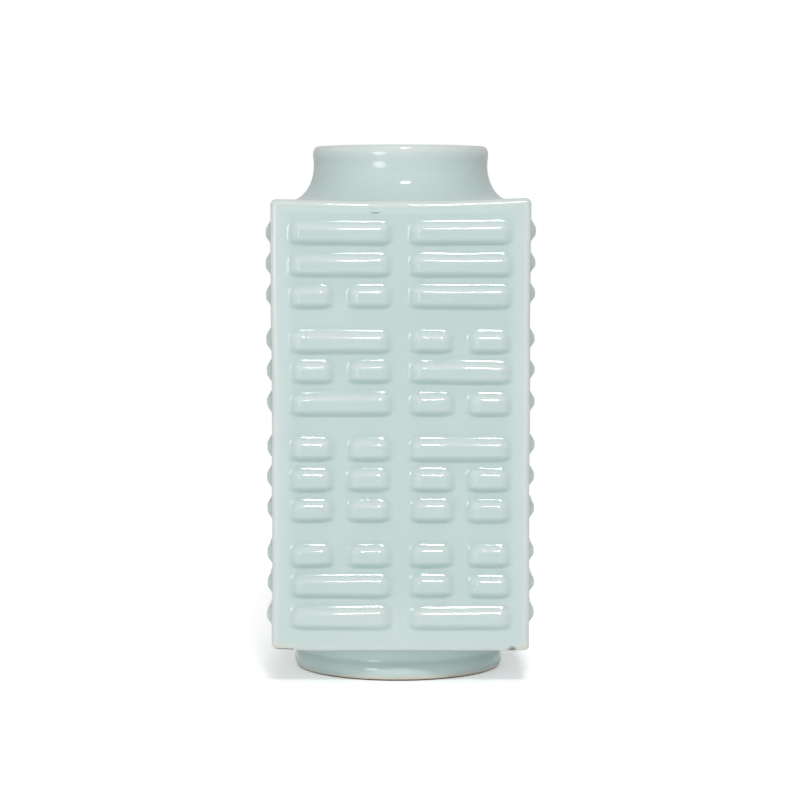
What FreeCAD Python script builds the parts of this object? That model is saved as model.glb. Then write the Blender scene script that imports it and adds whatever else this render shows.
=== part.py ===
import FreeCAD, Part
import math
import os

# A square porcelain vase with a round neck and a round foot, after the jade cong.
# It stands on its foot at Z = 0 with its axis on Z, and its front looks along -Y.
# Leather-hard slabs are mitred and luted into a box, a thrown neck and foot ring are
# luted on above and below, and every wall carries the eight trigrams in relief.

# Driving dimensions, in millimetres and degrees.

body_width = 134.0            # across two opposite walls, without the relief
body_height = 233.2           # from the underside of the base slab to the shoulder
edge_radius = 3.0             # of all twelve edges of the box
wall_thickness = 6.5
shoulder_thickness = 6.5
base_thickness = 6.5

strip_leg = 6.0               # clay pressed into each inner corner, along either wall

mouth_radius = 41.0           # the way in, through the neck and the shoulder
neck_wall = 5.6
neck_height = 29.0            # from the shoulder to the rim
neck_flare_height = 17.0      # of the hollow curve from the neck down to the shoulder
neck_flare_reach = 11.4       # how far that curve stands out from the neck
lip_projection = 0.5          # how far the lip stands out from the neck
lip_throat = 2.8              # height over which the neck widens to the lip
lip_radius = 2.6              # rounding on the outside of the lip
lip_bevel = 1.3               # inside edge of the mouth

foot_height = 17.8
foot_collar_radius = 54.4     # outside of the foot, under the base
foot_wall = 4.9
foot_roll_height = 9.5        # the swelling round the bottom of the foot
foot_roll_projection = 1.8
foot_rim_bevel = 1.9          # inside edge of the foot

# Round stretches of every profile are made in short straight steps, as a template for
# clay is filed, which keeps each surface to a few flats or plain cones.
flare_steps = 8
lip_steps = 3
foot_roll_steps = 5
crest_steps = 2
root_steps = 1

relief_height = 3.3           # of a bar over its wall
relief_slope = 37.0           # of a bar's flanks, from the wall
crest_round = 4.6             # the soft turn from a flank to the flat crest
root_round = 2.5              # the hollow turn from the wall to a flank
relief_top_margin = 8.3       # from the topmost bars up to the shoulder
relief_bottom_margin = 10.1   # from the lowest bars down to the underside of the base
relief_side_margin = 7.6      # bare wall to the left and right of the relief
column_gap = 7.0              # between the two columns of a wall
trigram_gap = 7.6             # between two trigrams of a column
line_gap = 0.9                # between two lines of a trigram
bar_break = 1.4               # between the two halves of a broken line

# A trigram's three lines from the top down, where 1 is whole and 0 is broken.
heaven = (1, 1, 1)
lake = (0, 1, 1)
fire = (1, 0, 1)
thunder = (0, 0, 1)
wind = (1, 1, 0)
water = (0, 1, 0)
mountain = (1, 0, 0)
earth = (0, 0, 0)

# Each wall's two columns from the top down, as seen from outside.
left_column = (wind, fire, earth, lake)
right_column = (heaven, water, mountain, thunder)

# What follows from the dimensions above.

half_width = body_width / 2
half_inside = half_width - wall_thickness
base_top = foot_height + base_thickness
shoulder_top = foot_height + body_height
shoulder_underside = shoulder_top - shoulder_thickness
wall_height = shoulder_underside - base_top
relief_reach = body_height - relief_top_margin - relief_bottom_margin
relief_middle = foot_height + relief_bottom_margin + relief_reach / 2
neck_radius = mouth_radius + neck_wall
overlap = 1.0                 # how far a cutting tool runs past what it cuts
level = 0.001                 # heights nearer than this are the same

trigrams_high = len(left_column)
lines_high = len(heaven)
gaps_in_column = trigrams_high * (lines_high - 1) * line_gap + (trigrams_high - 1) * trigram_gap
bar_width = (relief_reach - gaps_in_column) / (trigrams_high * lines_high)
bar_length = half_width - relief_side_margin - column_gap / 2
line_pitch = bar_width + line_gap
trigram_pitch = lines_high * bar_width + (lines_high - 1) * line_gap + trigram_gap
column_offset = (column_gap + bar_length) / 2


def point(x, y, z):
    return FreeCAD.Vector(x, y, z)


def line(start, end):
    return Part.LineSegment(start, end).toShape()


def arc(start, through, end):
    return Part.Arc(start, through, end).toShape()


def face_of(edges):
    return Part.Face(Part.Wire(Part.__sortEdges__(edges)))


def on_circle(centre, radius, degrees):
    """A point of a circle in plan."""
    turn = math.radians(degrees)
    return point(centre.x + radius * math.cos(turn), centre.y + radius * math.sin(turn), centre.z)


def round_stretch(across, up, radius, start, end, steps):
    """A round stretch of a profile about a centre, from one angle to another, in degrees."""
    angles = [math.radians(start + (end - start) * step / steps) for step in range(steps + 1)]
    return [(across + radius * math.cos(turn), up + radius * math.sin(turn)) for turn in angles]


def polygon(points):
    return Part.Face(Part.makePolygon(points + points[:1]))


def turned(profile):
    """The solid that a closed profile makes, turned once round the vase's axis."""
    section = polygon([point(radius, 0, z) for radius, z in profile])
    return section.revolve(point(0, 0, 0), point(0, 0, 1), 360)


def bar_profile(width):
    """A bar's outline across a width: a hollow root, a straight flank and a soft crest."""
    slope = math.radians(relief_slope)
    half = width / 2
    rounds = (crest_round + root_round) * math.tan(slope / 2)
    crest = half - relief_height / math.tan(slope) - rounds
    root_end = 270 - relief_slope
    crest_start = 90 - relief_slope
    flank = round_stretch(half, root_round, root_round, 270, root_end, root_steps)
    crest_axis = relief_height - crest_round
    flank += round_stretch(crest, crest_axis, crest_round, crest_start, 90, crest_steps)
    return flank + [(-across, rise) for across, rise in reversed(flank)]


def bar(length, x, z):
    """One bar on the front wall: what its cross section and its long section share."""
    left = x - length / 2
    bottom = z - bar_width / 2
    cross = [point(left, -half_width - rise, z + across) for across, rise in bar_profile(bar_width)]
    long = [point(x + across, -half_width - rise, bottom) for across, rise in bar_profile(length)]
    along_x = polygon(cross).extrude(point(length, 0, 0))
    along_z = polygon(long).extrude(point(0, 0, bar_width))
    return along_x.common(along_z)


def trigram_line(whole, x, z):
    """A whole bar, or two short ones with a break between them."""
    if whole:
        return [bar(bar_length, x, z)]
    short = (bar_length - bar_break) / 2
    offset = (short + bar_break) / 2
    return [bar(short, x - offset, z), bar(short, x + offset, z)]


def column(trigrams, x):
    """The bars of one column, from the topmost trigram down."""
    bars = []
    for place, trigram in enumerate(trigrams):
        middle = relief_middle + ((trigrams_high - 1) / 2 - place) * trigram_pitch
        for row, whole in enumerate(trigram):
            bars += trigram_line(whole, x, middle + ((lines_high - 1) / 2 - row) * line_pitch)
    return bars


def wall_slab():
    """The front wall without its relief: mitred ends, and half of each upright edge."""
    edge_axis = half_width - edge_radius
    ends = []
    edges = []
    for side in (-1, 1):
        centre = point(side * edge_axis, -edge_axis, base_top)
        face_end = on_circle(centre, edge_radius, 270)
        mitre_end = on_circle(centre, edge_radius, 270 + side * 45)
        inside_end = point(side * half_inside, -half_inside, base_top)
        edges.append(arc(face_end, on_circle(centre, edge_radius, 270 + side * 22.5), mitre_end))
        edges.append(line(mitre_end, inside_end))
        ends.append((face_end, inside_end))
    edges.append(line(ends[0][0], ends[1][0]))
    edges.append(line(ends[0][1], ends[1][1]))
    return face_of(edges).extrude(point(0, 0, wall_height))


def wall():
    """The front wall with both columns of trigrams standing on it."""
    bars = column(left_column, -column_offset) + column(right_column, column_offset)
    return wall_slab().fuse(bars).removeSplitter()


def lies_level(edge, z):
    return all(abs(end.Z - z) < level for end in edge.Vertexes)


def square_slab(bottom, thickness, soft_side):
    """A slab as wide as the body, rounded at its corners and round the edge of its soft side."""
    slab = Part.makeBox(body_width, body_width, thickness, point(-half_width, -half_width, bottom))
    outside = [edge for edge in slab.Edges if not lies_level(edge, edge.Vertexes[0].Z)]
    outside += [edge for edge in slab.Edges if lies_level(edge, soft_side)]
    return slab.makeFillet(edge_radius, outside)


def shoulder_slab():
    """The top of the box, softened along its upper edge and open under the neck."""
    slab = square_slab(shoulder_underside, shoulder_thickness, shoulder_top)
    opening = Part.makeCylinder(
        mouth_radius, shoulder_thickness + 2 * overlap, point(0, 0, shoulder_underside - overlap)
    )
    return slab.cut(opening)


def base_slab():
    """The bottom of the box, softened along its lower edge."""
    return square_slab(foot_height, base_thickness, foot_height)


def clay_strip():
    """The strip in the front left inner corner, thumbed hollow between the two walls."""
    corner = point(-half_inside, -half_inside, base_top)
    along = corner + point(strip_leg, 0, 0)
    back = corner + point(0, strip_leg, 0)
    hollow = on_circle(corner + point(strip_leg, strip_leg, 0), strip_leg, 225)
    section = face_of([line(corner, along), arc(along, hollow, back), line(back, corner)])
    return section.extrude(point(0, 0, wall_height))


def bow(height, reach):
    """The radius and half turn, in degrees, of an arc that is tangent at its middle."""
    radius = (height ** 2 + reach ** 2) / (2 * reach)
    return radius, math.degrees(math.asin(height / radius))


def neck():
    """The thrown neck: a straight bore, a hollow flare outside, and a rounded lip."""
    rim = shoulder_top + neck_height
    flare_top = shoulder_top + neck_flare_height
    flare_radius, flare_turn = bow(neck_flare_height, neck_flare_reach)
    flare_axis = neck_radius + flare_radius
    lip_start = rim - lip_radius
    lip_axis = neck_radius + lip_projection - lip_radius
    return turned(
        [(mouth_radius, shoulder_top)]
        + round_stretch(flare_axis, flare_top, flare_radius, 180 + flare_turn, 180, flare_steps)
        + [(neck_radius, lip_start - lip_throat)]
        + round_stretch(lip_axis, lip_start, lip_radius, 0, 90, lip_steps)
        + [(mouth_radius + lip_bevel, rim), (mouth_radius, rim - lip_bevel)]
    )


def foot_ring():
    """The foot: a collar under the base that swells into a roll, with a flat rim to stand on."""
    inside = foot_collar_radius - foot_wall
    half_roll = foot_roll_height / 2
    roll_radius, roll_turn = bow(half_roll, foot_roll_projection)
    roll_axis = foot_collar_radius + foot_roll_projection - roll_radius
    return turned(
        [(inside, foot_height), (foot_collar_radius, foot_height)]
        + round_stretch(roll_axis, half_roll, roll_radius, roll_turn, -roll_turn, foot_roll_steps)
        + [(inside + foot_rim_bevel, 0), (inside, foot_rim_bevel)]
    )


def quarter_turns(shape, count):
    """A copy of a shape, turned about the vase's axis."""
    copy = shape.copy()
    copy.rotate(point(0, 0, 0), point(0, 0, 1), 90 * count)
    return copy


nodes = {
    "neck": neck(),
    "shoulder_slab": shoulder_slab(),
    "base_slab": base_slab(),
    "foot_ring": foot_ring(),
}
front = wall()
for turns, side in enumerate(("front", "right", "back", "left")):
    nodes[side + "_wall"] = quarter_turns(front, turns)
strip = clay_strip()
for turns, corner in enumerate(("front_left", "front_right", "back_right", "back_left")):
    nodes[corner + "_clay_strip"] = quarter_turns(strip, turns)

os.makedirs("parts", exist_ok=True)
for name, shape in nodes.items():
    if not shape.isValid() or len(shape.Solids) != 1:
        raise ValueError(name + " is not one sound solid")
    shape.Solids[0].exportStep("parts/" + name + ".step")
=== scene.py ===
import math

import bpy
import numpy as np
from mathutils import Matrix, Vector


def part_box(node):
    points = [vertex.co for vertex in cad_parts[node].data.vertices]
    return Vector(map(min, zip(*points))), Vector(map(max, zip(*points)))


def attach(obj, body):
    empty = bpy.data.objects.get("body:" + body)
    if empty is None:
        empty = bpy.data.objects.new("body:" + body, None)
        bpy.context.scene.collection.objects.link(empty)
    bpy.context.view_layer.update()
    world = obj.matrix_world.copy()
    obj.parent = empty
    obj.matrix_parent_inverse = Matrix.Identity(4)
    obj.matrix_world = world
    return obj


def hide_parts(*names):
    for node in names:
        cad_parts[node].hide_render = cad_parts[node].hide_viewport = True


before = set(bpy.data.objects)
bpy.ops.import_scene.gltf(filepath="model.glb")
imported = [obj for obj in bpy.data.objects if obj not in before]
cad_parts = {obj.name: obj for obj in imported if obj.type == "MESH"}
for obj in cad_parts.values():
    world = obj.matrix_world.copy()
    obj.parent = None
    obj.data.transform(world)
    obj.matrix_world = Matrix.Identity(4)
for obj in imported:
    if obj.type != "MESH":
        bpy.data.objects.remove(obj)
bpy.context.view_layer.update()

# Base slab

# A leather-hard sheet of porcelain clay, cut square, with its lower edge and its upright
# corners wiped round with a wet sponge. The four walls stand on it, the foot ring hangs
# from it, and the same celadon glaze covers it as the rest of the vase.

base_low, base_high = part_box("base_slab")
half_body = base_high.x
edge_round = 0.003
foot_outside = 0.0544
foot_inside = 0.0495
wall_thickness = 0.0065
flat_depth = 0.5              # how deep the glaze lies on the flats, from 0 thin to 1 pooled
edge_loss = 0.22              # how much less of it stays on an edge
side_points = 88              # points along one side of a loop round the body
corner_turns = (0, 6, 12, 18, 24, 30, 36, 41, 44.7, 45, 45.3, 49, 54, 60, 66, 72, 78, 84)
edge_turns = (0, 9, 18, 27, 36, 45, 54, 63, 72, 81, 90)

shoulder_low, shoulder_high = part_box("shoulder_slab")

# How far the hand-made box strays from true, at most.
edge_sag = 0.0007             # the shoulder's edges, between its corners
corner_curl = 0.00075         # the shoulder's corners
right_curl = 0.00027          # and so much more at the right, and less at the left
corner_lift = 0.0008          # the front left corner of the base
wall_dish = 0.0012            # the front and the back wall
left_taper = 0.0005           # the lower half of the left wall
right_taper = 0.0003          # and of the right one


def eased(low, high, value):
    """Nought below one value, one above another, and a soft step between."""
    share = np.clip((value - low) / (high - low), 0.0, 1.0)
    return share * share * (3 - 2 * share)


def hand_made(points):
    """Points moved as drying, luting and firing moved the clay, by about a millimetre at most."""
    x, y, z = points[:, 0], points[:, 1], points[:, 2]
    outward = np.maximum(abs(x), abs(y)) / half_body
    along = np.minimum(abs(x), abs(y)) / half_body
    not_neck = z < shoulder_high.z + 0.0005
    near_top = eased(shoulder_high.z - 0.018, shoulder_high.z - 0.001, z) * not_neck
    # The shoulder's edges sank between the corners, which curled up a little, most at the right.
    sunk = edge_sag * np.clip(1 - along ** 2, 0, 1) * eased(0.93, 1.0, outward) * near_top
    curled = (corner_curl + right_curl * x / half_body) * eased(0.066, 0.090, np.hypot(x, y)) * near_top
    # The sponge left those edges faintly wavy.
    wavy = 0.00007 * np.sin(190 * x + 70 * y) + 0.00005 * np.sin(430 * x - 390 * y)
    curled += wavy * eased(0.9, 1.0, outward) * near_top
    # The front left corner of the base lifted.
    reach = np.hypot(x + half_body, y + half_body)
    lifted = corner_lift * (1 - eased(0.0, 0.022, reach)) * (1 - eased(0.018, 0.045, z))
    # The box is a little narrower in its lower half.
    at_left = left_taper * eased(0.015, 0.075, z)
    taken_in = np.where(x < 0, at_left, right_taper) * (1 - eased(0.15, 0.25, z))
    # The front and the back wall are faintly dished.
    middle_z, half_height = 0.134, 0.113
    across = np.clip(1 - (x / half_body) ** 2, 0, 1)
    upright = np.clip(1 - ((z - middle_z) / half_height) ** 4, 0, 1)
    dished = wall_dish * across * upright * eased(0.91, 0.99, abs(y) / half_body)
    # Every face is faintly wavy, less so on the neck, and not at all low on the foot.
    in_body = eased(0.010, 0.030, z) * (1 - 0.6 * eased(0.245, 0.262, z))
    wave_x = 0.00006 * np.sin(z / 0.0062 + 1.1 + 21 * y) + 0.00008 * np.sin(z / 0.0151 + 34 * y)
    wave_y = 0.00006 * np.sin(z / 0.0068 + 2.3 + 44 * x) + 0.00008 * np.sin(z / 0.0137 - 41 * x)
    wave_x += 0.00005 * np.sin(95 * y + z / 0.019)
    wave_y += 0.00015 * np.sin(118 * x + 1.4 + z / 0.031)
    moved = points.copy()
    moved[:, 0] += in_body * (wave_x - taken_in * np.sign(x) * eased(0.5, 1.0, abs(x) / half_body))
    moved[:, 1] += in_body * (wave_y - taken_in * np.sign(y) * eased(0.5, 1.0, abs(y) / half_body))
    moved[:, 1] -= dished * np.sign(y)
    moved[:, 2] += lifted + curled - sunk
    return moved


def square_loop(half, corner, z):
    """Points round a square with round corners, anticlockwise from the front left."""
    flat = half - corner
    quarter_turn = math.pi / 2
    side = [(-flat + 2 * flat * step / side_points, -half) for step in range(side_points)]
    for turn in corner_turns:
        angle = math.radians(turn - 90)
        side.append((flat + corner * math.cos(angle), -flat + corner * math.sin(angle)))
    loop = []
    for quarter in range(4):
        cos = round(math.cos(quarter * quarter_turn))
        sin = round(math.sin(quarter * quarter_turn))
        loop += [(x * cos - y * sin, x * sin + y * cos, z) for x, y in side]
    return np.array(loop)


def round_loop(square, radius, z, share=1.0):
    """The points of a square loop drawn in towards a circle, by a share of the way."""
    turn = np.arctan2(square[:, 1], square[:, 0])
    circle = np.stack([radius * np.cos(turn), radius * np.sin(turn), np.full(len(turn), z)], axis=1)
    return square + (circle - square) * share


def skin(loops, ends_meet):
    """Points and faces of a closed skin through loops that run out from the top, down and in."""
    count = len(loops[0])
    points = np.concatenate(loops)
    rows = len(loops) if ends_meet else len(loops) - 1
    faces = []
    for row in range(rows):
        here = row * count
        below = (row + 1) % len(loops) * count
        for place in range(count):
            beside = (place + 1) % count
            faces.append((here + place, below + place, below + beside, here + beside))
    if not ends_meet:
        last = (len(loops) - 1) * count
        middles = np.array([loops[0].mean(axis=0), loops[-1].mean(axis=0)])
        top, bottom = len(points), len(points) + 1
        points = np.concatenate([points, middles])
        for place in range(count):
            beside = (place + 1) % count
            faces.append((top, place, beside))
            faces.append((bottom, last + beside, last + place))
    return points, faces


def clay(name, points, faces, depth, finish):
    """One piece of the vase: its smooth mesh, how deep the glaze lies on it, and its finish."""
    mesh = bpy.data.meshes.new(name)
    mesh.from_pydata(hand_made(points).tolist(), [], faces)
    mesh.attributes.new("glaze_depth", "FLOAT", "POINT").data.foreach_set("value", depth)
    return fired(name, mesh, finish)


def fired(name, mesh, finish):
    """A finished mesh as an object, shaded smooth except where two faces meet at a joint."""
    mesh.materials.clear()
    mesh.materials.append(finish)
    mesh.shade_smooth()
    mesh.set_sharp_from_angle(angle=math.radians(55))
    piece = bpy.data.objects.new(name, mesh)
    bpy.context.scene.collection.objects.link(piece)
    return piece


def put(tree, kind, inputs=None, **settings):
    """A new node with its settings, and with its sockets set or wired."""
    made = tree.nodes.new(kind)
    for setting, value in settings.items():
        setattr(made, setting, value)
    for socket, value in (inputs or {}).items():
        if isinstance(value, bpy.types.NodeSocket):
            tree.links.new(value, made.inputs[socket])
        else:
            made.inputs[socket].default_value = value
    return made


def reckon(tree, operation, *values, clamp=False):
    """The result of a Math node."""
    made = put(tree, "ShaderNodeMath", dict(enumerate(values)), operation=operation, use_clamp=clamp)
    return made.outputs[0]


def ramped(tree, value, low, high, at_low=0.0, at_high=1.0, kind="LINEAR"):
    """A value carried from one range into another, and held at its ends."""
    ends = {0: value, 1: low, 2: high, 3: at_low, 4: at_high}
    return put(tree, "ShaderNodeMapRange", ends, interpolation_type=kind).outputs[0]


def mixed(tree, share, first, second):
    """Two colours mixed, by the share of the second."""
    return put(tree, "ShaderNodeMix", {0: share, 6: first, 7: second}, data_type="RGBA").outputs[2]


def noise(tree, place, scale, detail):
    """Even noise at a place, from 0 to 1."""
    made = put(tree, "ShaderNodeTexNoise", {"Vector": place, "Scale": scale, "Detail": detail})
    return made.outputs["Fac"]


def colour(red, green, blue):
    """A colour given as on screen, from 0 to 255, in the linear values that nodes take."""
    shares = [value / 255 for value in (red, green, blue)]
    return tuple(s / 12.92 if s < 0.04045 else ((s + 0.055) / 1.055) ** 2.4 for s in shares) + (1,)


thin_glaze = colour(227, 228, 223)
even_glaze = colour(203, 219, 217)
deep_glaze = colour(168, 198, 195)


def celadon_group():
    """Celadon glaze: pale where it runs thin, blue-green where it pools, faintly cloudy."""
    group = bpy.data.node_groups.new("celadon glaze", "ShaderNodeTree")
    face = group.interface
    face.new_socket("Place", in_out="INPUT", socket_type="NodeSocketVector")
    depth = face.new_socket("Depth", in_out="INPUT", socket_type="NodeSocketFloat")
    depth.default_value = 0.5
    clouds = face.new_socket("Clouds", in_out="INPUT", socket_type="NodeSocketFloat")
    clouds.default_value = 0.12
    face.new_socket("Colour", in_out="OUTPUT", socket_type="NodeSocketColor")
    face.new_socket("Gloss loss", in_out="OUTPUT", socket_type="NodeSocketFloat")
    face.new_socket("Height", in_out="OUTPUT", socket_type="NodeSocketFloat")
    given = put(group, "NodeGroupInput").outputs
    drift = reckon(group, "SUBTRACT", noise(group, given["Place"], 24.0, 3.0), 0.5)
    grain = reckon(group, "SUBTRACT", noise(group, given["Place"], 260.0, 2.0), 0.5)
    drift = reckon(group, "MULTIPLY_ADD", grain, 0.35, drift)
    laid = reckon(group, "MULTIPLY_ADD", drift, given["Clouds"], given["Depth"], clamp=True)
    ramp = put(group, "ShaderNodeValToRGB", {"Fac": laid})
    stops = ramp.color_ramp.elements
    stops[0].position, stops[0].color = 0.05, thin_glaze
    stops[1].position, stops[1].color = 0.95, deep_glaze
    middle = stops.new(0.5)
    middle.color = even_glaze
    # Pinholes and grey specks, a few to a hand's breadth.
    cells = put(group, "ShaderNodeTexVoronoi", {"Vector": given["Place"], "Scale": 95.0})
    rare = reckon(group, "GREATER_THAN", cells.outputs["Color"], 0.86)
    dot = reckon(group, "LESS_THAN", cells.outputs["Distance"], 0.022)
    speck = reckon(group, "MULTIPLY", rare, dot)
    shown = reckon(group, "MULTIPLY", speck, 0.30)
    specked = mixed(group, shown, ramp.outputs["Color"], colour(120, 122, 108))
    # The glaze's skin swells slowly, with a fine ripple over it.
    ripple = noise(group, given["Place"], 420.0, 1.0)
    swell = noise(group, given["Place"], 40.0, 0.0)
    height = reckon(group, "MULTIPLY_ADD", ripple, 0.03, swell)
    height = reckon(group, "MULTIPLY_ADD", speck, -0.35, height)
    put(group, "NodeGroupOutput", {"Colour": specked, "Gloss loss": speck, "Height": height})
    return group


celadon = celadon_group()


def glazed_finish(name, clouds=0.12, depth=None):
    """A material of celadon glaze, as deep as the piece says or as one given depth."""
    finish = bpy.data.materials.new(name)
    finish.use_nodes = True
    tree = finish.node_tree
    shader = tree.nodes["Principled BSDF"]
    place = put(tree, "ShaderNodeTexCoord").outputs["Object"]
    glaze = put(tree, "ShaderNodeGroup", node_tree=celadon)
    tree.links.new(place, glaze.inputs["Place"])
    glaze.inputs["Clouds"].default_value = clouds
    if depth is None:
        laid = put(tree, "ShaderNodeAttribute", attribute_name="glaze_depth")
        tree.links.new(laid.outputs["Fac"], glaze.inputs["Depth"])
    else:
        glaze.inputs["Depth"].default_value = depth
    bump = put(tree, "ShaderNodeBump", {"Height": glaze.outputs["Height"], "Distance": 0.00006})
    bump.inputs["Strength"].default_value = 0.7
    rough = reckon(tree, "MULTIPLY_ADD", glaze.outputs["Gloss loss"], 0.3, 0.07)
    tree.links.new(glaze.outputs["Colour"], shader.inputs["Base Color"])
    tree.links.new(rough, shader.inputs["Roughness"])
    tree.links.new(bump.outputs["Normal"], shader.inputs["Normal"])
    shader.inputs["IOR"].default_value = 1.5
    return finish


def base_finish():
    """The glaze, rubbed through at both front corners, with a nick at the left and a chip at the right."""
    finish = glazed_finish("celadon on the base")
    tree = finish.node_tree
    shader = tree.nodes["Principled BSDF"]
    place = next(node for node in tree.nodes if node.bl_idname == "ShaderNodeTexCoord").outputs["Object"]
    x, y, z = put(tree, "ShaderNodeSeparateXYZ", {0: place}).outputs
    wander = reckon(tree, "SUBTRACT", noise(tree, place, 260.0, 3.0), 0.5)

    def near(point, reach):
        away = put(tree, "ShaderNodeVectorMath", {0: place, 1: point}, operation="DISTANCE").outputs["Value"]
        away = reckon(tree, "MULTIPLY_ADD", wander, 0.004, away)
        return ramped(tree, away, reach * 0.25, reach, 1.0, 0.0)

    left_corner = near((-0.0650, -0.0655, 0.0190), 0.013)
    right_corner = near((0.0655, -0.0655, 0.0185), 0.008)
    rubbed = reckon(tree, "MAXIMUM", left_corner, right_corner)
    rubbed = reckon(tree, "MULTIPLY", rubbed, ramped(tree, z, 0.0200, 0.0238, 0.7, 0.0))
    ragged_height = reckon(tree, "MULTIPLY_ADD", wander, 0.0012, z)
    below = ramped(tree, ragged_height, 0.0191, 0.0194, 1.0, 0.0)
    in_front = reckon(tree, "LESS_THAN", y, -0.058)
    from_middle = reckon(tree, "ABSOLUTE", reckon(tree, "ADD", x, 0.0605))
    along = ramped(tree, from_middle, 0.0042, 0.0052, 1.0, 0.0)
    nick = reckon(tree, "MULTIPLY", reckon(tree, "MULTIPLY", below, in_front), along)
    chip = near((0.0575, -0.0655, 0.0182), 0.0028)
    broken = reckon(tree, "MAXIMUM", nick, chip)
    glaze_colour = shader.inputs["Base Color"].links[0].from_socket
    wear_and_contact_shade = mixed(tree, rubbed, glaze_colour, colour(222, 219, 204))
    whole = mixed(tree, broken, wear_and_contact_shade, colour(112, 100, 80))
    tree.links.new(whole, shader.inputs["Base Color"])
    return finish


base_under, base_top = base_low.z, base_high.z
rim = square_loop(half_body, edge_round, base_top)
inner_square = square_loop(half_body - edge_round, 0.0, base_under)
loops = [
    round_loop(rim, 0.020, base_top),
    round_loop(rim, 0.045, base_top),
    square_loop(half_body - wall_thickness, 0.0005, base_top),
    rim,
    square_loop(half_body, edge_round, base_top - 0.0018),
]
thinness = [0.0, 0.0, 0.0, 0.0, 0.0]
for turn in edge_turns:
    angle = math.radians(turn)
    inset = edge_round * (1 - math.cos(angle))
    drop = edge_round * math.sin(angle)
    loops.append(square_loop(half_body - inset, edge_round - inset, base_under + edge_round - drop))
    thinness.append(math.sin(2 * angle) ** 0.7)
loops += [
    round_loop(inner_square, foot_outside, base_under, 0.12),
    round_loop(inner_square, foot_outside, base_under, 0.6),
    round_loop(inner_square, foot_outside + 0.0012, base_under),
    round_loop(inner_square, foot_inside, base_under),
    round_loop(inner_square, 0.040, base_under + 0.0003),
    round_loop(inner_square, 0.020, base_under + 0.0006),
]
thinness += [0.0] * 6


def corner_thinness(points):
    """One on the body's upright edges, nought on its flats."""
    along = np.minimum(abs(points[:, 0]), abs(points[:, 1]))
    return eased(half_body - edge_round - 0.0012, half_body - edge_round + 0.0009, along)


points, faces = skin(loops, ends_meet=False)
count = len(loops[0])
edge_share = np.concatenate([np.repeat(thinness, count), [0.0, 0.0]])
edge_share = np.maximum(edge_share, corner_thinness(points))
glazed_base = clay("glazed_base", points, faces, flat_depth - edge_loss * edge_share, base_finish())
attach(glazed_base, "root")
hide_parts("base_slab")

# Four walls

# Slabs of the same clay, mitred at the corners and luted into a box. Each carries two
# columns of four trigrams in relief, pressed with the slab and softened by the glaze,
# which ran thin along the upper edge of every bar and pooled along its foot.

bar_length = 0.0547
bar_break = 0.0049
line_pitch = 0.0163
trigram_pitch = 0.0556
column_offset = 0.0310
relief_middle = 0.1353
relief_height = 0.00308
trigram_reach = 0.0262        # from a trigram's middle to clear of its outer bars
flank_slope = 0.75            # a flank's fall for its run, before each flank's own steepness
wall_inside = half_body - wall_thickness
step_across = 0.0010
step_up = 0.00043             # where the bars are, so that their glints run clean

heaven = (1, 1, 1)
lake = (0, 1, 1)
fire = (1, 0, 1)
thunder = (0, 0, 1)
wind = (1, 1, 0)
water = (0, 1, 0)
mountain = (1, 0, 0)
earth = (0, 0, 0)
left_column = (wind, fire, earth, lake)
right_column = (heaven, water, mountain, thunder)

wall_bottom, wall_top = base_high.z, shoulder_low.z

# How each slab came out of its mould: how wide its crests are, how steep their upper and
# lower flanks, and how soft the crests and the roots.
moulded = {
    "front": {
        "Crest width": 0.0030, "Upper steepness": 0.84, "Lower steepness": 1.5,
        "Crest softness": 0.00095, "Root softness": 0.0015,
    },
    "right": {
        "Crest width": 0.0006, "Upper steepness": 0.86, "Lower steepness": 1.0,
        "Crest softness": 0.0010, "Root softness": 0.0018,
    },
    "back": {
        "Crest width": 0.0024, "Upper steepness": 0.78, "Lower steepness": 1.3,
        "Crest softness": 0.0008, "Root softness": 0.0014,
    },
    "left": {
        "Crest width": 0.0017, "Upper steepness": 0.86, "Lower steepness": 1.0,
        "Crest softness": 0.0010, "Root softness": 0.0018,
    },
}

# How far below its drawn place each row of bars came to sit, in millimetres, from the top.
row_slips = {
    "front": (2.0, 1.95, 1.85, 2.3, 1.35, 1.85, 2.05, 1.85, 1.45, 1.65, 1.2, 1.35),
    "right": (0.0, 0.1, -0.5, 0.0, 0.1, 0.2, -0.1, 0.0, 0.2, 0.1, 0.0, -0.1),
    "back": (1.5, 1.7, 1.4, 1.3, 1.6, 1.4, 1.5, 1.2, 1.4, 1.3, 1.5, 1.3),
    "left": (0.7, 0.8, 0.7, 0.6, 0.8, 0.7, 0.5, 0.7, 0.6, 0.7, 0.6, 0.7),
}

# What all four have in common: how square a bar's corners are, how steep its ends, how far
# each bar strayed, and how uneven its flanks are.
pressed_alike = {
    "Relief height": relief_height,
    "Flank slope": flank_slope,
    "Corner squareness": 2.7,
    "End steepness": 0.85,
    "Wall face": -half_body + 0.0005,
    "Flat half": half_body - edge_round,
    "Hand slip": 0.0002,
    "Hand wobble": 0.0005,
}


def bar_marks(slips):
    """Where each bar of a wall has its middle, across and up, and how long it is."""
    marks = []
    short = (bar_length - bar_break) / 2
    for offset, trigrams in ((-column_offset, left_column), (column_offset, right_column)):
        for place, trigram in enumerate(trigrams):
            middle = relief_middle + (1.5 - place) * trigram_pitch
            for row, whole in enumerate(trigram):
                z = middle + (1 - row) * line_pitch - slips[3 * place + row] / 1000
                if whole:
                    marks.append((offset, z, bar_length))
                else:
                    shift = (short + bar_break) / 2
                    marks.append((offset - shift, z, short))
                    marks.append((offset + shift, z, short))
    return marks


def stations(start, end, step, spans=None):
    """Places from start to end, a step apart, or up to three steps apart outside the given spans."""
    places = [start]
    while places[-1] < end:
        here = places[-1]
        among = spans is None or any(low - 3 * step < here < high for low, high in spans)
        places.append(here + (step if among else 3 * step))
    places[-1] = end
    if places[-1] - places[-2] < 0.0002:
        del places[-2]
    return places


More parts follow.
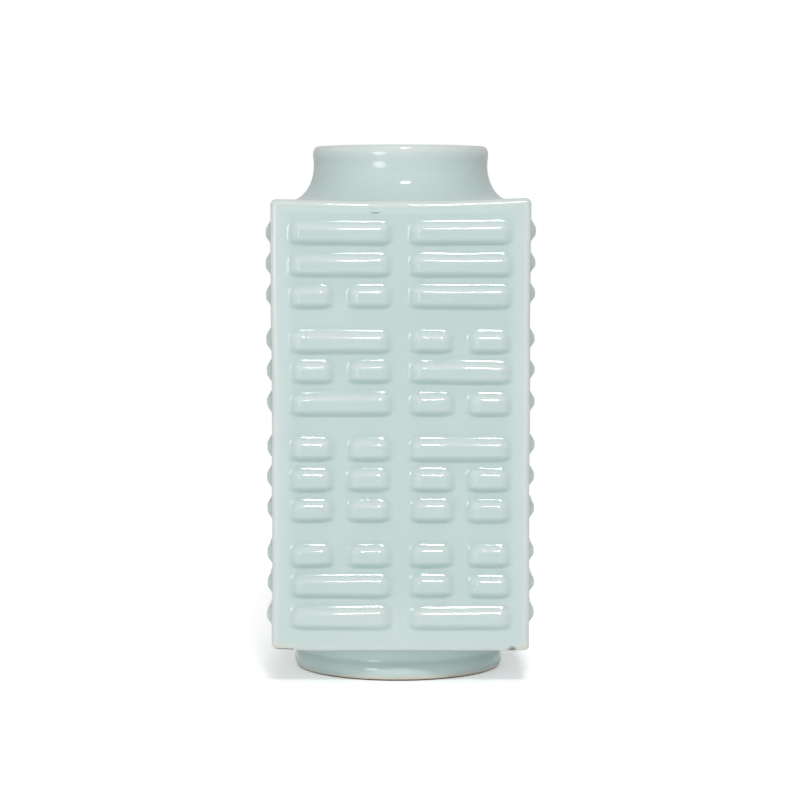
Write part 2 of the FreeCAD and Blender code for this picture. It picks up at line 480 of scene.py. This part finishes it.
def plain_wall():
    """The front wall before its relief: mitred ends and half of each upright edge."""
    flat = half_body - edge_round
    middles = [relief_middle + (place - 1.5) * trigram_pitch for place in range(4)]
    spans = [(middle - trigram_reach, middle + trigram_reach) for middle in middles]
    right_arc = []
    for turn in corner_turns:
        if turn <= 45:
            angle = math.radians(turn - 90)
            right_arc.append((flat + edge_round * math.cos(angle), -flat + edge_round * math.sin(angle)))
    left_arc = [(-x, y) for x, y in reversed(right_arc)]
    plan = left_arc + [(x, -half_body) for x in stations(-flat, flat, step_across)[1:-1]] + right_arc
    plan += [(wall_inside * (1 - 2 * step / 12), -wall_inside) for step in range(13)]
    heights = stations(wall_bottom, wall_top, step_up, spans)
    count = len(plan)
    points = [(x, y, z) for z in heights for x, y in plan]
    faces = []
    for row in range(len(heights) - 1):
        here = row * count
        above = here + count
        for place in range(count):
            beside = (place + 1) % count
            faces.append((here + place, here + beside, above + beside, above + place))
    last = (len(heights) - 1) * count
    faces.append(tuple(reversed(range(count))))
    faces.append(tuple(range(last, last + count)))
    mesh = bpy.data.meshes.new("plain wall")
    mesh.from_pydata(points, [], faces)
    return mesh


def mark_mesh(slips):
    """One point for each bar, on the wall's face, that carries the bar's length."""
    marks = bar_marks(slips)
    mesh = bpy.data.meshes.new("bar marks")
    mesh.from_pydata([(x, -half_body, z) for x, z, length in marks], [], [])
    mesh.attributes.new("bar_length", "FLOAT", "POINT").data.foreach_set("value", [m[2] for m in marks])
    return mesh


def relief_tree():
    """Raises a bar round every mark on a wall, and says how deep the glaze lies there."""
    tree = bpy.data.node_groups.new("trigram relief", "GeometryNodeTree")
    face = tree.interface
    face.new_socket("Wall", in_out="INPUT", socket_type="NodeSocketGeometry")
    face.new_socket("Marks", in_out="INPUT", socket_type="NodeSocketObject")
    face.new_socket("Glaze", in_out="INPUT", socket_type="NodeSocketMaterial")
    face.new_socket("Seed", in_out="INPUT", socket_type="NodeSocketInt")
    for name in [*moulded["front"], *pressed_alike]:
        face.new_socket(name, in_out="INPUT", socket_type="NodeSocketFloat")
    face.new_socket("Wall", in_out="OUTPUT", socket_type="NodeSocketGeometry")
    given = put(tree, "NodeGroupInput").outputs

    run = reckon(tree, "ADD", given["Relief height"], given["Crest softness"])
    run = reckon(tree, "ADD", run, given["Root softness"])
    run = reckon(tree, "DIVIDE", run, given["Flank slope"])
    length = put(tree, "GeometryNodeInputNamedAttribute", {"Name": "bar_length"}, data_type="FLOAT")
    both_ends = reckon(tree, "MULTIPLY", run, 2.0)
    crest_length = reckon(tree, "SUBTRACT", length.outputs["Attribute"], both_ends)
    stretch_ends = {2: 0.985, 3: 1.012, "Seed": given["Seed"]}
    stretch = put(tree, "FunctionNodeRandomValue", stretch_ends, data_type="FLOAT")
    crest_length = reckon(tree, "MULTIPLY", crest_length, stretch.outputs[1])
    size = put(tree, "ShaderNodeCombineXYZ", {0: crest_length, 1: 0.00002, 2: 1.0})
    tilt_seed = reckon(tree, "ADD", given["Seed"], 11.0)
    tilt_ends = {2: -0.008, 3: 0.008, "Seed": tilt_seed}
    tilt = put(tree, "FunctionNodeRandomValue", tilt_ends, data_type="FLOAT")
    turn = put(tree, "ShaderNodeCombineXYZ", {0: math.pi / 2, 1: tilt.outputs[1]})
    slip_seed = reckon(tree, "ADD", given["Seed"], 23.0)
    slip_ends = {0: (-1, 0, -1), 1: (1, 0, 1), "Seed": slip_seed}
    slip = put(tree, "FunctionNodeRandomValue", slip_ends, data_type="FLOAT_VECTOR")
    slip_size = {0: slip.outputs[0], "Scale": given["Hand slip"]}
    slip = put(tree, "ShaderNodeVectorMath", slip_size, operation="SCALE")
    marks = put(tree, "GeometryNodeObjectInfo", {"Object": given["Marks"]}, transform_space="RELATIVE")
    marks = put(tree, "GeometryNodeMeshToPoints", {"Mesh": marks.outputs["Geometry"]})
    marks = put(tree, "GeometryNodeSetPosition", {"Geometry": marks.outputs[0], "Offset": slip.outputs[0]})
    plate_size = {"Size X": 1.0, "Size Y": 1.0, "Vertices X": 2, "Vertices Y": 2}
    plate = put(tree, "GeometryNodeMeshGrid", plate_size)
    plates = put(tree, "GeometryNodeInstanceOnPoints", {
        "Points": marks.outputs[0],
        "Instance": plate.outputs["Mesh"],
        "Rotation": turn.outputs[0],
        "Scale": size.outputs[0],
    })
    plates = put(tree, "GeometryNodeRealizeInstances", {0: plates.outputs[0]})

    # How far a point of the wall lies from the nearest crest. A bar's upper flank reaches
    # further than its lower one, so the halfway line between two bars lies higher.
    here = put(tree, "GeometryNodeInputPosition").outputs[0]
    further = reckon(tree, "DIVIDE", 1.0, given["Upper steepness"])
    further = reckon(tree, "SUBTRACT", further, reckon(tree, "DIVIDE", 1.0, given["Lower steepness"]))
    further = reckon(tree, "MULTIPLY", reckon(tree, "MULTIPLY", further, run), -0.5)
    asked = put(tree, "ShaderNodeCombineXYZ", {2: further})
    asked = put(tree, "ShaderNodeVectorMath", {0: here, 1: asked.outputs[0]}, operation="ADD")
    sought = {0: plates.outputs[0], "Source Position": asked.outputs[0]}
    nearest = put(tree, "GeometryNodeProximity", sought, target_element="FACES")
    away = put(tree, "ShaderNodeVectorMath", {0: here, 1: nearest.outputs["Position"]}, operation="SUBTRACT")
    parts = put(tree, "ShaderNodeSeparateXYZ", {0: away.outputs[0]}).outputs
    above = reckon(tree, "GREATER_THAN", parts["Z"], 0.0)
    nearer = reckon(tree, "SUBTRACT", given["Upper steepness"], given["Lower steepness"])
    nearer = reckon(tree, "MULTIPLY_ADD", above, nearer, given["Lower steepness"])
    off_crest = reckon(tree, "ABSOLUTE", parts["Z"])
    off_crest = reckon(tree, "MULTIPLY_ADD", given["Crest width"], -0.5, off_crest)
    off_crest = reckon(tree, "MAXIMUM", off_crest, 0.0)
    rising = reckon(tree, "MULTIPLY", off_crest, reckon(tree, "SIGN", parts["Z"]))
    rising = reckon(tree, "MULTIPLY", rising, nearer)
    across = reckon(tree, "ABSOLUTE", reckon(tree, "MULTIPLY", parts["X"], given["End steepness"]))
    across = reckon(tree, "POWER", across, given["Corner squareness"])
    up = reckon(tree, "POWER", reckon(tree, "ABSOLUTE", rising), given["Corner squareness"])
    inverse = reckon(tree, "DIVIDE", 1.0, given["Corner squareness"])
    distance = reckon(tree, "POWER", reckon(tree, "ADD", across, up), inverse)
    shift = put(tree, "ShaderNodeCombineXYZ", {0: reckon(tree, "MULTIPLY", given["Seed"], 0.37)})
    place = put(tree, "ShaderNodeVectorMath", {0: here, 1: shift.outputs[0]}, operation="ADD").outputs[0]
    uneven = reckon(tree, "MULTIPLY_ADD", noise(tree, place, 32.0, 0.0), 2.0, -1.0)
    felt = reckon(tree, "MULTIPLY_ADD", uneven, given["Hand wobble"], distance)

    # The flank as a slope, softened into the wall at its root and into the crest.
    top = reckon(tree, "ADD", given["Relief height"], given["Crest softness"])
    line = reckon(tree, "MULTIPLY_ADD", felt, reckon(tree, "MULTIPLY", given["Flank slope"], -1.0), top)
    rise = reckon(tree, "SMOOTH_MAX", line, 0.0, given["Root softness"])
    rise = reckon(tree, "SMOOTH_MIN", rise, given["Relief height"], given["Crest softness"])
    offset = put(tree, "ShaderNodeCombineXYZ", {1: reckon(tree, "MULTIPLY", rise, -1.0)})
    spot = put(tree, "ShaderNodeSeparateXYZ", {0: here}).outputs
    on_face = reckon(tree, "LESS_THAN", spot["Y"], given["Wall face"])

    def share_near(level, reach):
        """One at a share of the flank's run out from the crest, and nought a reach away from it."""
        level = reckon(tree, "MULTIPLY", run, level)
        gap = reckon(tree, "ABSOLUTE", reckon(tree, "SUBTRACT", felt, level))
        return ramped(tree, gap, 0.0, reckon(tree, "MULTIPLY", run, reach), 1.0, 0.0, "SMOOTHSTEP")

    # Glaze ran thin on the upper half of each flank and pooled along its foot below.
    upward = reckon(tree, "DIVIDE", rising, reckon(tree, "MAXIMUM", distance, 0.00001))
    drained = reckon(tree, "MULTIPLY", share_near(0.33, 0.31), ramped(tree, upward, -0.6, 0.7))
    pooled = reckon(tree, "MULTIPLY", share_near(0.62, 0.34), ramped(tree, upward, 0.1, -0.8, 0.15, 1.0))
    # It is thin on the upright edges too, and a little fuller away from them and from the bottom.
    beyond = reckon(tree, "SUBTRACT", reckon(tree, "ABSOLUTE", spot["X"]), given["Flat half"])
    corner = ramped(tree, beyond, -0.0012, 0.0009, kind="SMOOTHSTEP")
    thin = reckon(tree, "MAXIMUM", drained, corner)
    inner = ramped(tree, beyond, -0.010, -0.002, 1.0, 0.0, "SMOOTHSTEP")
    higher = ramped(tree, spot["Z"], 0.030, 0.055, kind="SMOOTHSTEP")
    fuller = reckon(tree, "MULTIPLY_ADD", reckon(tree, "MULTIPLY", inner, higher), 0.10, flat_depth)
    depth = reckon(tree, "MULTIPLY_ADD", thin, -edge_loss, fuller)
    depth = reckon(tree, "MULTIPLY_ADD", pooled, 0.20, depth)

    told = {"Geometry": given["Wall"], "Name": "glaze_depth", "Value": depth}
    raised = put(tree, "GeometryNodeStoreNamedAttribute", told, data_type="FLOAT", domain="POINT")
    moved = {"Geometry": raised.outputs[0], "Selection": on_face, "Offset": offset.outputs[0]}
    raised = put(tree, "GeometryNodeSetPosition", moved)
    raised = put(tree, "GeometryNodeRealizeInstances", {0: raised.outputs[0]})
    coated = {"Geometry": raised.outputs[0], "Material": given["Glaze"]}
    raised = put(tree, "GeometryNodeSetMaterial", coated)
    put(tree, "NodeGroupOutput", {0: raised.outputs[0]})
    return tree


def set_input(modifier, name, value):
    """Sets one of a modifier's named inputs by its socket's identifier."""
    for socket in modifier.node_group.interface.items_tree:
        if socket.in_out == "INPUT" and socket.name == name:
            modifier[socket.identifier] = value


wall_glaze = glazed_finish("celadon on the walls")
relief = relief_tree()
blank_mesh = plain_wall()
for turns, (side, as_moulded) in enumerate(moulded.items()):
    marks_object = bpy.data.objects.new("bar marks", mark_mesh(row_slips[side]))
    blank = bpy.data.objects.new("wall blank", blank_mesh)
    for helper in (marks_object, blank):
        bpy.context.scene.collection.objects.link(helper)
    modifier = blank.modifiers.new("relief", "NODES")
    modifier.node_group = relief
    set_input(modifier, "Marks", marks_object)
    set_input(modifier, "Glaze", wall_glaze)
    set_input(modifier, "Seed", 3 + 7 * turns)
    for name, value in {**pressed_alike, **as_moulded}.items():
        set_input(modifier, name, value)
    evaluated = blank.evaluated_get(bpy.context.evaluated_depsgraph_get())
    mesh = bpy.data.meshes.new_from_object(evaluated)
    for helper in (marks_object, blank):
        bpy.data.objects.remove(helper)
    mesh.name = "glazed_" + side + "_wall"
    mesh.transform(Matrix.Rotation(turns * math.pi / 2, 4, "Z"))
    places = np.empty(len(mesh.vertices) * 3)
    mesh.vertices.foreach_get("co", places)
    mesh.vertices.foreach_set("co", hand_made(places.reshape(-1, 3)).ravel())
    wall = fired("glazed_" + side + "_wall", mesh, wall_glaze)
    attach(wall, "root")
    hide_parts(side + "_wall")

# Clay strips

# Soft clay thumbed into each inner corner to bind two walls. Only a look down the mouth
# shows them, glazed over like the rest of the inside.

strip_leg = 0.006
strip_steps = 10
strip_rows = 90
thumb_pitch = 0.021
inside_depth = 0.55
inside_glaze = glazed_finish("celadon inside", clouds=0.2, depth=inside_depth)


def strip_points(height):
    """The strip's section at one height, hollowed by the thumb a little more at each press."""
    press = 0.5 + 0.5 * math.cos(2 * math.pi * (height - wall_bottom) / thumb_pitch)
    corner = -wall_inside
    points = [(corner, corner, height)]
    for step in range(strip_steps + 1):
        angle = math.radians(270 - 90 * step / strip_steps)
        centre = corner + strip_leg
        x = centre + strip_leg * math.cos(angle)
        y = centre + strip_leg * math.sin(angle)
        inward = 0.0006 * press * math.sin(math.pi * step / strip_steps)
        points.append((x - inward, y - inward, height))
    return points


strip_height = wall_top - wall_bottom
strip_sections = []
for row in range(strip_rows + 1):
    strip_sections.append(strip_points(wall_bottom + strip_height * row / strip_rows))
strip_count = len(strip_sections[0])
strip_faces = [tuple(reversed(range(strip_count)))]
for row in range(strip_rows):
    here = row * strip_count
    above = here + strip_count
    for place in range(strip_count):
        beside = (place + 1) % strip_count
        strip_faces.append((here + place, here + beside, above + beside, above + place))
strip_faces.append(tuple(range(strip_rows * strip_count, (strip_rows + 1) * strip_count)))
front_left_strip = np.array([place for section in strip_sections for place in section])
for turns, corner in enumerate(("front_left", "front_right", "back_right", "back_left")):
    quarter = np.array(Matrix.Rotation(turns * math.pi / 2, 3, "Z"))
    places = front_left_strip @ quarter.T
    depth = np.full(len(places), inside_depth)
    strip = clay("glazed_" + corner + "_strip", places, strip_faces, depth, inside_glaze)
    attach(strip, "root")
    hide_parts(corner + "_clay_strip")

# Shoulder slab

# The lid of the box, luted on the walls and open under the neck. Its upper edge is wiped
# round, and between the corners it sank a little in the fire.

mouth_radius = 0.041
shoulder_loss = 0.18          # how much less glaze stays on its edges
shoulder_under, shoulder_top = shoulder_low.z, shoulder_high.z
upper_square = square_loop(half_body - edge_round, 0.0, shoulder_top)
loops = [
    round_loop(upper_square, mouth_radius, shoulder_top),
    round_loop(upper_square, 0.050, shoulder_top),
    round_loop(upper_square, 0.056, shoulder_top),
    round_loop(upper_square, 0.060, shoulder_top, 0.95),
]
loops += [round_loop(upper_square, 0.062, shoulder_top, share) for share in (0.75, 0.5, 0.3, 0.15, 0.05)]
thinness = [0.0] * len(loops)
for turn in reversed(edge_turns):
    angle = math.radians(turn)
    inset = edge_round * (1 - math.cos(angle))
    rise = edge_round * math.sin(angle)
    loops.append(square_loop(half_body - inset, edge_round - inset, shoulder_top - edge_round + rise))
    thinness.append(math.sin(2 * angle) ** 0.7)
loops += [
    square_loop(half_body, edge_round, shoulder_under + 0.0016),
    square_loop(half_body, edge_round, shoulder_under),
    square_loop(wall_inside, 0.0005, shoulder_under),
    round_loop(upper_square, 0.050, shoulder_under),
    round_loop(upper_square, mouth_radius, shoulder_under),
]
thinness += [0.0] * 5
points, faces = skin(loops, ends_meet=True)
edge_share = np.maximum(np.repeat(thinness, len(loops[0])), corner_thinness(points))
shoulder_glaze = glazed_finish("celadon on the shoulder")
depth = flat_depth - shoulder_loss * edge_share
glazed_shoulder = clay("glazed_shoulder", points, faces, depth, shoulder_glaze)
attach(glazed_shoulder, "root")
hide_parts("shoulder_slab")

# Neck

# Thrown on the wheel and luted on the shoulder: a straight bore, a lip that stands out a
# little, a waist, and a hollow flare that dies into the shoulder.

neck_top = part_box("neck")[1].z
neck_under = shoulder_top - 0.00012
neck_radius = 0.0466
flare_height = 0.019
flare_reach = 0.0135
lip_out = 0.0004
lip_radius = 0.0026
lip_fall = 0.0042
inner_lip_radius = 0.0022
lip_throat = 0.0056
turned_points = 240


def swept(across, up, radius, start, end, steps):
    """Points of an arc in a turned profile, as radius and height, by angles in degrees."""
    angles = [math.radians(start + (end - start) * step / steps) for step in range(steps + 1)]
    return [(across + radius * math.cos(angle), up + radius * math.sin(angle)) for angle in angles]


def thrown(profile):
    """Loops of a profile turned once round the vase's axis."""
    turns = np.arange(turned_points) * 2 * math.pi / turned_points
    return [
        np.stack([radius * np.cos(turns), radius * np.sin(turns), np.full(turned_points, z)], axis=1)
        for radius, z in profile
    ]


def lip():
    """The rim from the bore outwards: a full inner turn, a flat hair, and a rounder outside."""
    inner = inner_lip_radius
    crown = [(mouth_radius, neck_top - inner - 0.004)]
    crown += swept(mouth_radius + inner, neck_top - inner, inner, 180, 90, 9)
    outer = neck_radius + lip_out - lip_radius
    for step in range(13):
        angle = math.radians(90 - 7.5 * step)
        across = outer + lip_radius * math.cos(angle)
        crown.append((across, neck_top - lip_fall + lip_fall * math.sin(angle)))
    return crown


def outside():
    """The outside below the lip: a slight throat, then a quarter of an ellipse that spreads
    down to the shoulder and ends in a feather edge just sunk into it."""
    top, flare_top = neck_top - lip_fall, shoulder_top + flare_height
    heights = [top + (flare_top - top) * step / 9 for step in range(1, 10)]
    for step in range(1, 41):
        heights.append(shoulder_top + flare_height * (1 - math.sin(math.radians(2.1 * step))))
    curve = []
    for z in heights:
        down = max(flare_top - z, 0) / flare_height
        stands_out = lip_out * float(eased(top - lip_throat, top, z))
        curve.append((neck_radius + stands_out + flare_reach * (1 - math.sqrt(1 - down * down)), z))
    curve.append((curve[-1][0] + 0.0009, shoulder_top - 0.00002))
    curve.append((curve[-1][0] + 0.0009, neck_under))
    return curve


profile = lip() + outside()
profile += [(0.050, neck_under), (mouth_radius, neck_under), (mouth_radius, shoulder_top + 0.010)]
neck_glaze = glazed_finish("celadon on the neck")
loops = thrown(profile)
points, faces = skin(loops, ends_meet=True)
# Thin glaze on the lip, fuller in the hollow of the flare, and painted light at its foot: a lighter band
# that lifts the shade where it meets the shoulder.
depth = 0.53 - 0.21 * eased(neck_top - 0.0085, neck_top - 0.002, points[:, 2])
depth += 0.06 * eased(shoulder_top + 0.014, shoulder_top + 0.005, points[:, 2])
# Painted light: lighter colour at the flare's foot, standing in for light where shade falls.
depth -= 0.12 * eased(shoulder_top + 0.003, shoulder_top, points[:, 2])
glazed_neck = clay("glazed_neck", points, faces, depth, neck_glaze)
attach(glazed_neck, "root")
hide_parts("neck")

# Foot ring

# Thrown or coiled, turned true when leather-hard and luted under the base: a collar that
# swells into a roll. Its rim is wiped clean of glaze and fired bare, buff with dark pits.

foot_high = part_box("foot_ring")[1]
foot_top = foot_high.z
foot_depth = 0.60             # the glaze lies fuller here than on the flats
roll_height = 0.0095
roll_out = foot_high.x - foot_outside
rim_bevel = 0.0019
foot_slip = 0.0012            # it was luted on a little to the left


def foot_profile():
    """The foot from inside its top outwards, down the collar, round the roll and in again."""
    half_roll = roll_height / 2
    roll_radius = (half_roll ** 2 + roll_out ** 2) / (2 * roll_out)
    roll_turn = math.degrees(math.asin(half_roll / roll_radius))
    fillet = 0.0014
    outline = [(foot_inside, foot_top), (foot_outside, foot_top)]
    outline += swept(foot_outside + fillet, foot_top - fillet, fillet, 90, 180, 8)
    outline += [(foot_outside, foot_top - 0.004), (foot_outside, roll_height + 0.0012)]
    centre = foot_outside + roll_out - roll_radius
    roll = swept(centre, half_roll, roll_radius, roll_turn - 6, 4 - roll_turn, 22)
    outline += [(foot_outside + 0.0001, roll_height + 0.0006)]
    outline += roll
    outline += [(foot_outside - 0.0007, 0.0), (foot_inside + rim_bevel + 0.0004, 0.0)]
    outline += [(foot_inside + rim_bevel, 0.00015), (foot_inside + 0.0004, rim_bevel - 0.0004)]
    outline += [(foot_inside, rim_bevel + 0.0004)]
    return outline


def turned_depth(profile):
    """Glaze depth along a closed profile: thin where it bulges sharply, deep where it is hollow."""
    path = np.array(profile)
    ahead = np.roll(path, -1, axis=0) - path
    behind = path - np.roll(path, 1, axis=0)
    turn = np.arctan2(
        behind[:, 0] * ahead[:, 1] - behind[:, 1] * ahead[:, 0], (behind * ahead).sum(axis=1)
    )
    run = (np.linalg.norm(ahead, axis=1) + np.linalg.norm(behind, axis=1)) / 2
    bulge = -turn / run
    return foot_depth - edge_loss * np.clip(bulge * 0.0006, -0.6, 1.0)


def foot_finish():
    """Celadon glaze that stops just above the rim, in an uneven line over bare buff clay."""
    finish = glazed_finish("celadon on the foot")
    tree = finish.node_tree
    shader = tree.nodes["Principled BSDF"]
    place = next(node for node in tree.nodes if node.bl_idname == "ShaderNodeTexCoord").outputs["Object"]
    glaze_colour = shader.inputs["Base Color"].links[0].from_socket
    glaze_rough = shader.inputs["Roughness"].links[0].from_socket
    across, _, height = put(tree, "ShaderNodeSeparateXYZ", {0: place}).outputs
    wander = reckon(tree, "SUBTRACT", noise(tree, place, 120.0, 4.0), 0.5)
    line = reckon(tree, "MULTIPLY_ADD", wander, 0.0026, height)
    # The glaze runs lower at the left.
    line = reckon(tree, "ADD", line, ramped(tree, across, -0.024, -0.036, 0.0, 0.0011))
    bare = ramped(tree, line, 0.0031, 0.0019)
    grit = noise(tree, place, 900.0, 3.0)
    buff = mixed(tree, grit, colour(206, 200, 186), colour(224, 219, 208))
    body = mixed(tree, bare, glaze_colour, buff)
    # Painted contact shadow: the rim's very edge is darkened where it meets the floor.
    wear_and_contact_shade = ramped(tree, height, 0.0011, 0.0006)
    contact_shaded = mixed(tree, wear_and_contact_shade, body, colour(84, 76, 62))
    # The glaze's brink is pitted.
    from_brink = reckon(tree, "ABSOLUTE", reckon(tree, "SUBTRACT", line, 0.0022))
    brink = ramped(tree, from_brink, 0.0, 0.0014, 1.0, 0.0)
    pits = put(tree, "ShaderNodeTexVoronoi", {"Vector": place, "Scale": 210.0})
    pit = reckon(tree, "LESS_THAN", pits.outputs["Distance"], 0.07)
    pit = reckon(tree, "MULTIPLY", pit, reckon(tree, "GREATER_THAN", pits.outputs["Color"], 0.55))
    pit = reckon(tree, "MULTIPLY", pit, brink)
    pitted = mixed(tree, pit, contact_shaded, colour(96, 84, 66))
    tree.links.new(pitted, shader.inputs["Base Color"])
    rough = put(tree, "ShaderNodeMix", {0: bare, 2: glaze_rough, 3: 0.72})
    tree.links.new(rough.outputs[0], shader.inputs["Roughness"])
    return finish


profile = foot_profile()
loops = thrown(profile)
points, faces = skin(loops, ends_meet=True)
points[:, 0] -= foot_slip
depth = np.repeat(turned_depth(profile), turned_points)
depth += 0.15 * eased(foot_top - 0.004, foot_top, points[:, 2])
glazed_foot = clay("glazed_foot_ring", points, faces, depth, foot_finish())
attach(glazed_foot, "root")
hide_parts("foot_ring")

# Floor

# A plain white sweep. Near the vase it takes a soft shadow, and further off it fades
# into the white of the background.

floor_half = 6.0
floor_mesh = bpy.data.meshes.new("floor")
signs = ((-1, -1), (1, -1), (1, 1), (-1, 1))
floor_mesh.from_pydata([(floor_half * x, floor_half * y, 0) for x, y in signs], [], [(0, 1, 2, 3)])
floor = bpy.data.objects.new("floor", floor_mesh)
bpy.context.scene.collection.objects.link(floor)
paper = bpy.data.materials.new("white paper")
paper.use_nodes = True
tree = paper.node_tree
tree.nodes.clear()
place = put(tree, "ShaderNodeTexCoord").outputs["Object"]
distance = put(tree, "ShaderNodeVectorMath", {0: place}, operation="LENGTH").outputs["Value"]
far = ramped(tree, distance, 0.35, 1.1, kind="SMOOTHSTEP")
seen = put(tree, "ShaderNodeLightPath").outputs["Is Camera Ray"]
matt = put(tree, "ShaderNodeBsdfDiffuse", {"Color": (0.86, 0.86, 0.86, 1)})
# Painted shadow: the floor's glow to the camera is dimmed where the vase hems it in, deepening the real
# shadow close round it.
open_sky = put(tree, "ShaderNodeAmbientOcclusion", {"Distance": 0.05}, samples=8).outputs["AO"]
lift = reckon(tree, "MULTIPLY_ADD", open_sky, 0.18, 0.32)
lift = put(tree, "ShaderNodeEmission", {"Color": (1, 1, 1, 1), "Strength": lift})
# Painted light: the floor also glows faintly onto the vase, standing in for the light it would throw back.
glow = put(tree, "ShaderNodeEmission", {"Color": (1, 1, 1, 1), "Strength": 0.22})
lifted = put(tree, "ShaderNodeAddShader", {0: matt.outputs[0], 1: lift.outputs[0]})
white = put(tree, "ShaderNodeEmission", {"Color": (1, 1, 1, 1), "Strength": 1.0})
faded = put(tree, "ShaderNodeMixShader", {0: far, 1: lifted.outputs[0], 2: white.outputs[0]})
giving = put(tree, "ShaderNodeAddShader", {0: matt.outputs[0], 1: glow.outputs[0]})
whole = put(tree, "ShaderNodeMixShader", {0: seen, 1: giving.outputs[0], 2: faded.outputs[0]})
put(tree, "ShaderNodeOutputMaterial", {0: whole.outputs[0]})
floor_mesh.materials.append(paper)

# Light

# A white tent all round, weaker than it looks to the camera. Three big lamps, overhead, in
# front and behind, light the glaze and make no glints. The key, small and high in front,
# makes the sharp glints, and a lamp at the left, bright in its middle, the faint upright ones.

world = bpy.data.worlds.new("white tent")
bpy.context.scene.world = world
world.use_nodes = True
tree = world.node_tree
tree.nodes.clear()
path = put(tree, "ShaderNodeLightPath").outputs
soft = put(tree, "ShaderNodeBackground", {"Color": (1, 1, 1, 1), "Strength": 0.26})
mirrored = put(tree, "ShaderNodeBackground", {"Color": (1, 1, 1, 1), "Strength": 0.55})
white = put(tree, "ShaderNodeBackground", {"Color": (1, 1, 1, 1), "Strength": 1.0})
unseen = {0: path["Is Glossy Ray"], 1: soft.outputs[0], 2: mirrored.outputs[0]}
unseen = put(tree, "ShaderNodeMixShader", unseen)
sky = {0: path["Is Camera Ray"], 1: unseen.outputs[0], 2: white.outputs[0]}
sky = put(tree, "ShaderNodeMixShader", sky)
put(tree, "ShaderNodeOutputWorld", {0: sky.outputs[0]})


def lamp(name, azimuth, elevation, distance, width, height, power, glints=True):
    """A lamp with a round or oval face aimed at the middle of the vase, placed by its direction."""
    data = bpy.data.lights.new(name, "AREA")
    data.shape = "ELLIPSE"
    data.size = width
    data.size_y = height
    data.energy = power
    source = bpy.data.objects.new(name, data)
    turn, rise = math.radians(azimuth), math.radians(elevation)
    way = np.array([math.sin(turn) * math.cos(rise), -math.cos(turn) * math.cos(rise), math.sin(rise)])
    source.location = np.array([0, 0, relief_middle]) + way * distance
    source.rotation_euler = (math.pi / 2 - rise, 0, turn)
    source.visible_glossy = glints
    bpy.context.scene.collection.objects.link(source)


lamp("overhead", azimuth=0, elevation=76, distance=2.0, width=1.0, height=1.0, power=6.0, glints=False)
lamp("front fill", azimuth=4, elevation=33, distance=2.2, width=0.8, height=0.8, power=0.8, glints=False)
lamp("back fill", azimuth=180, elevation=35, distance=2.4, width=1.0, height=1.0, power=9.0, glints=False)
lamp("key", azimuth=6.3, elevation=47, distance=3.2, width=0.56, height=0.32, power=38.0)
lamp("left lamp core", azimuth=-28, elevation=6, distance=1.6, width=0.32, height=0.32, power=1.6)
lamp("left lamp edge", azimuth=-28, elevation=6, distance=1.6, width=0.50, height=0.50, power=2.2)

# Camera

# It stands 1.4 m in front, near the height of the shoulder, and looks slightly down.

camera_data = bpy.data.cameras.new("camera")
camera_data.sensor_width = 36.0
camera_data.lens = 116.58
camera = bpy.data.objects.new("camera", camera_data)
camera.location = (-0.00029, -1.3973, 0.24303)
camera.rotation_euler = (math.pi / 2 - 0.0710, 0, 0)
bpy.context.scene.collection.objects.link(camera)
bpy.context.scene.camera = camera
bpy.context.scene.view_settings.view_transform = "Standard"
